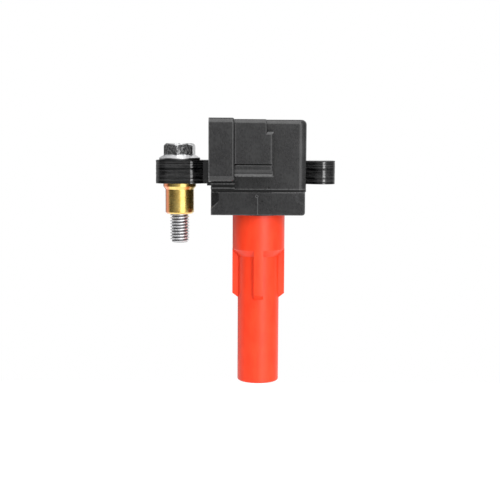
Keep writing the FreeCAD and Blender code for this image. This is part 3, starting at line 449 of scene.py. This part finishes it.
def resistor_rod():
    """A pale ceramic rod with a plated cap at each end."""
    low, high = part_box("noise_resistor")
    finish = Finish("resistor_rod")
    from_middle = finish.math("ABSOLUTE", finish.along("Z") - (low.z + high.z) / 2)
    cap_start = (high.z - low.z) / 2 - 3.0 * MM
    cap = finish.ramp(from_middle, cap_start - 0.05 * MM, cap_start + 0.05 * MM)
    cloud = finish.mottle(1 * MM, 3)
    ceramic = finish.blend(cloud, (0.66, 0.62, 0.54), (0.76, 0.73, 0.66))
    finish.colour(finish.blend(cap, ceramic, (0.72, 0.72, 0.72)))
    finish.feed(finish.shader.inputs["Metallic"], cap)
    finish.roughness(0.5 - 0.22 * cap + 0.1 * cloud)
    finish.relief(cloud, 0.01 * MM)
    return finish.material


def drawn_spring_wire():
    """Drawn stainless spring wire."""
    finish = Finish("drawn_spring_wire", metallic=1.0)
    lines = finish.mottle(0.2 * MM, 3)
    finish.colour(finish.blend(lines, (0.50, 0.49, 0.47), (0.66, 0.65, 0.63)))
    finish.roughness(0.2 + 0.16 * lines)
    finish.relief(lines, 0.003 * MM)
    return finish.material


copper = enamelled_wire("primary_wire", 0.6 * MM, (0.30, 0.075, 0.025), (0.72, 0.26, 0.11))
fine_copper = enamelled_wire("secondary_wire", 0.16 * MM, (0.26, 0.06, 0.02), (0.60, 0.20, 0.08))
moulding = case_moulding()
paint = core_paint()
rubber = seal_rubber()
resin = cast_resin()
brass = turned_brass()
tin = tinned_terminal()
bobbin = bobbin_moulding()
epoxy = epoxy_moulding()
spring_wire = drawn_spring_wire()

node_finishes = {
    "coil_case": moulding,
    "core_frame": paint,
    "center_core": paint,
    "core_seal_left": rubber,
    "core_seal_right": rubber,
    "potting_resin": resin,
    "mounting_sleeve": passivated_sleeve(),
    "mounting_bolt": bright_zinc(),
    "plug_boot": boot_silicone(),
    "noise_resistor": resistor_rod(),
    "contact_spring": spring_wire,
    "contact_cap": brass,
    "high_voltage_terminal": brass,
    "power_terminal": tin,
    "ground_terminal": tin,
    "signal_terminal": tin,
    "primary_supply_lead": tin,
    "primary_switched_lead": tin,
    "secondary_low_lead": tin,
    "high_voltage_lead": tin,
    "bias_magnet": sintered_magnet(),
    "primary_bobbin": bobbin,
    "secondary_bobbin": bobbin,
    "primary_winding": copper,
    "secondary_winding": fine_copper,
    "igniter_module": epoxy,
    "rectifier_diode": epoxy,
    "heat_sink": rolled_aluminium(),
}
for node_name, node_finish in node_finishes.items():
    for slot in frame["nodes"][node_name].material_slots:
        slot.material = node_finish


# Pieces

def settle(shape, name, finish, body):
    """Makes an object of a finished mesh, with its finish, its body and the slot it takes its finish from."""
    mesh = bpy.data.meshes.new(name)
    shape.to_mesh(mesh)
    shape.free()
    mesh.materials.append(finish)
    piece = bpy.data.objects.new(name, mesh)
    bpy.context.scene.collection.objects.link(piece)
    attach(piece, body)
    return piece


def merged_copy(node):
    """A copy of a node's mesh with its loose triangles joined."""
    shape = bmesh.new()
    shape.from_mesh(frame["nodes"][node].data)
    bmesh.ops.remove_doubles(shape, verts=shape.verts, dist=WELD)
    return shape


def flat_faces(shape, axis, level):
    """The faces that lie flat at a level of an axis."""
    return [face for face in shape.faces
            if all(abs(vert.co[axis] - level) <= LEVEL_ERROR for vert in face.verts)]


def core_sheets():
    """The stack of stamped sheets, each with its punched edges just broken and none quite flush."""
    lot = random.Random(7)
    stack = bmesh.new()
    for index in range(SHEET_COUNT):
        sheet = merged_copy("core_frame")
        underside = flat_faces(sheet, 2, core_low.z)
        others = [face for face in sheet.faces if face not in underside]
        bmesh.ops.delete(sheet, geom=others, context="FACES")
        raised = bmesh.ops.extrude_face_region(sheet, geom=sheet.faces[:])
        top = [item for item in raised["geom"] if isinstance(item, bmesh.types.BMVert)]
        lean = (lot.uniform(-SHEET_LEAN, SHEET_LEAN), lot.uniform(-SHEET_LEAN, SHEET_LEAN), SHEET_THICKNESS)
        bmesh.ops.translate(sheet, verts=top, vec=lean)
        bmesh.ops.recalc_face_normals(sheet, faces=sheet.faces)
        rims = [edge for edge in sheet.edges
                if edge.calc_face_angle(0) > RIM_ANGLE
                and abs(edge.verts[0].co.z - edge.verts[1].co.z) < SHEET / 2]
        bmesh.ops.bevel(sheet, geom=rims, affect="EDGES", offset=SHEET_BREAK, segments=2, profile=0.5,
                        material=-1)
        shrunk = 1 - lot.uniform(0.0, SHEET_SHRINK)
        bmesh.ops.scale(sheet, verts=sheet.verts, vec=(shrunk, shrunk, 1))
        bmesh.ops.translate(sheet, verts=sheet.verts, vec=(0, 0, index * SHEET))
        stage = bpy.data.meshes.new("sheet")
        sheet.to_mesh(stage)
        sheet.free()
        stack.from_mesh(stage)
        bpy.data.meshes.remove(stage)
    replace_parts(settle(stack, "core_sheets", paint, "coil"), "core_frame")


def resin_fill():
    """The cast resin, whose open skin dips a little between the walls that it wets."""
    fill = merged_copy("potting_resin")
    skin = bmesh.ops.dissolve_faces(fill, faces=flat_faces(fill, 1, resin_high.y))["region"]
    for width, dip in MENISCUS:
        bmesh.ops.inset_region(fill, faces=skin, thickness=width, depth=-dip, use_even_offset=True,
                               use_boundary=True)
    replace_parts(settle(fill, "resin_fill", resin, "coil"), "potting_resin")


def working_spring():
    """The contact's spring as a joined copy with a mesh of its own; how short the contact's travel would make
    it is worked out but not applied.
    """
    low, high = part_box("contact_spring")
    travel = next(joint for joint in frame["joints"] if joint["name"] == "contact_press")["range_m"][1]
    shortest = 1 - travel / (high.z - low.z)
    spring = settle(merged_copy("contact_spring"), "working_spring", spring_wire, "boot")
    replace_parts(spring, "contact_spring")
    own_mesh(spring)


def foot_parting_line():
    """The thin line that the mould's halves leave down the front of the case's foot, bent as the foot is."""
    ridge = bmesh.new()
    bmesh.ops.create_cube(ridge, size=1)
    bmesh.ops.scale(ridge, verts=ridge.verts, vec=(LINE_WIDTH, LINE_DEPTH, LINE_TOP - FOOT_BOTTOM))
    bmesh.ops.translate(ridge, verts=ridge.verts, vec=(LINE_X, FOOT_FRONT, (LINE_TOP + FOOT_BOTTOM) / 2))
    bmesh.ops.bisect_plane(ridge, geom=ridge.verts[:] + ridge.edges[:] + ridge.faces[:], dist=WELD,
                           plane_co=(0, 0, FOOT_BEND), plane_no=(0, 0, 1))
    foot_end = [vert for vert in ridge.verts if vert.co.z < FOOT_BEND - 1 * MM]
    bmesh.ops.translate(ridge, verts=foot_end, vec=(0, FOOT_SET_BACK, 0))
    long_edges = [edge for edge in ridge.edges if abs(edge.verts[0].co.z - edge.verts[1].co.z) > 1 * MM]
    bmesh.ops.bevel(ridge, geom=long_edges, affect="EDGES", offset=LINE_EASE, segments=3, profile=0.5,
                    material=-1)
    settle(ridge, "foot_parting_line", moulding, "coil")


def foot_gate_mark():
    """The small ring where the moulding's gate was broken off, at the top of the parting line."""
    ring = bmesh.new()
    upright = Matrix.Rotation(math.pi / 2, 3, "X")
    bmesh.ops.create_circle(ring, segments=10, radius=GATE_BEAD)
    bmesh.ops.rotate(ring, verts=ring.verts, cent=(0, 0, 0), matrix=upright)
    bmesh.ops.translate(ring, verts=ring.verts, vec=(GATE_RADIUS, 0, 0))
    bmesh.ops.spin(ring, geom=ring.verts[:] + ring.edges[:], cent=(0, 0, 0), axis=(0, 0, 1), dvec=(0, 0, 0),
                   angle=math.tau, steps=28, use_merge=True)
    bmesh.ops.remove_doubles(ring, verts=ring.verts, dist=WELD)
    bmesh.ops.recalc_face_normals(ring, faces=ring.faces)
    bmesh.ops.rotate(ring, verts=ring.verts, cent=(0, 0, 0), matrix=upright)
    bmesh.ops.translate(ring, verts=ring.verts, vec=(GATE_X, FOOT_FRONT, LINE_TOP + GATE_ABOVE_LINE))
    settle(ring, "foot_gate_mark", moulding, "coil")


core_sheets()
resin_fill()
working_spring()
foot_parting_line()
foot_gate_mark()


# Studio

def studio_surround():
    """Pale walls, dark at the front left, dimmer at the right and rear left. The camera sees plain white."""
    world = bpy.data.worlds.new("studio")
    bpy.context.scene.world = world
    world.use_nodes = True
    tree = Tree(world.node_tree)
    direction = tree.add("ShaderNodeTexCoord", {}, {}, output="Generated")
    east = tree.add("ShaderNodeSeparateXYZ", {}, {0: direction}, output="X")
    north = tree.add("ShaderNodeSeparateXYZ", {}, {0: direction}, output="Y")
    up = tree.add("ShaderNodeSeparateXYZ", {}, {0: direction}, output="Z")
    bearing = tree.math("ARCTAN2", east, 0 - north)
    left_wall = (tree.ramp(bearing, math.radians(-88), math.radians(-99))
                 * tree.ramp(bearing, math.radians(-125), math.radians(-145), 1.0, 0.25))
    front_wall = (tree.ramp(bearing, math.radians(-58), math.radians(14))
                  * tree.ramp(bearing, math.radians(86), math.radians(58), 0.3, 1.0))
    right_wall = tree.ramp(bearing, math.radians(105), math.radians(130))
    ceiling = tree.ramp(tree.math("ABSOLUTE", up), 0.55, 0.80)
    walls = tree.math("MAXIMUM", left_wall, tree.math("MAXIMUM", front_wall, right_wall))
    lit = tree.math("MAXIMUM", walls, ceiling)
    ahead = tree.ramp(tree.math("ABSOLUTE", bearing), math.radians(70), math.radians(40))
    table_edge = tree.ramp(up, 0.04, -0.10) * ahead
    shade = tree.blend(lit - 0.75 * (table_edge * lit), (0.09, 0.09, 0.09), (0.85, 0.85, 0.85))
    camera_ray = tree.add("ShaderNodeLightPath", {}, {}, output="Is Camera Ray")
    background = tree.nodes["Background"]
    tree.feed(background.inputs["Color"], tree.blend(camera_ray, shade, (1.0, 1.0, 1.0)))


def soft_lamp(name, centre, aim, size, radiance):
    """A rectangular soft lamp facing a point, as bright all over as its radiance says."""
    data = bpy.data.lights.new(name, "AREA")
    data.shape = "RECTANGLE"
    data.size, data.size_y = size
    data.energy = radiance * math.pi * size[0] * size[1]
    lamp = bpy.data.objects.new(name, data)
    lamp.location = centre
    lamp.rotation_euler = (Vector(aim) - Vector(centre)).to_track_quat("-Z", "Y").to_euler()
    bpy.context.scene.collection.objects.link(lamp)


def pale_floor():
    """A wide pale floor below, which takes the object's shadow and looks white elsewhere."""
    shape = bmesh.new()
    bmesh.ops.create_grid(shape, x_segments=1, y_segments=1, size=FLOOR_HALF_WIDTH)
    bmesh.ops.translate(shape, verts=shape.verts, vec=(0, 0, FLOOR_LEVEL))
    mesh = bpy.data.meshes.new("floor")
    shape.to_mesh(mesh)
    shape.free()
    material = bpy.data.materials.new("pale_floor")
    material.use_nodes = True
    tree = Tree(material.node_tree)
    shader = tree.nodes["Principled BSDF"]
    shader.inputs["Base Color"].default_value = (0.8, 0.8, 0.8, 1)
    shader.inputs["Roughness"].default_value = 0.9
    seen = sum(tree.add("ShaderNodeLightPath", {}, {}, output=ray)
               for ray in ("Is Camera Ray", "Is Glossy Ray", "Is Transmission Ray"))
    glow = tree.blend(tree.math("MINIMUM", seen, 1.0), (0.0, 0.0, 0.0), (0.4, 0.4, 0.4))
    tree.feed(shader.inputs["Emission Color"], glow)
    shader.inputs["Emission Strength"].default_value = 1.0
    mesh.materials.append(material)
    floor = bpy.data.objects.new("floor", mesh)
    bpy.context.scene.collection.objects.link(floor)


def place_camera():
    """Straight in front of the case's upper half, looking slightly down and a little rolled."""
    place = (-3.53 * MM, -416.5 * MM, 101.0 * MM)
    pitch = math.radians(6.3)
    roll = math.radians(0.3)
    data = bpy.data.cameras.new("camera")
    data.lens = 72
    data.sensor_width = 36
    data.clip_start = 0.01
    camera = bpy.data.objects.new("camera", data)
    ahead = Vector((0, math.cos(pitch), -math.sin(pitch)))
    above = Vector((0, math.sin(pitch), math.cos(pitch)))
    level = Vector((1, 0, 0))
    right = level * math.cos(roll) + above * math.sin(roll)
    up = above * math.cos(roll) - level * math.sin(roll)
    axes = Matrix((right, up, -ahead)).transposed().to_4x4()
    camera.matrix_world = Matrix.Translation(place) @ axes
    bpy.context.scene.collection.objects.link(camera)
    bpy.context.scene.camera = camera


studio_surround()
pale_floor()
softbox_distance = 1.2
softbox_bearing = math.radians(26)
softbox_place = (softbox_distance * math.sin(softbox_bearing), -softbox_distance * math.cos(softbox_bearing),
                 0.24)
soft_lamp("front_softbox", softbox_place, (0, 0, 0.07), (0.76, 1.2), 1.5)
soft_lamp("front_softbox_core", softbox_place, (0, 0, 0.07), (0.42, 0.8), 5.4)
soft_lamp("top_softbox", (0.0, -0.50, 0.95), (0, 0, 0.08), (0.9, 1.5), 2.2)
place_camera()
bpy.context.scene.view_settings.view_transform = "Standard"
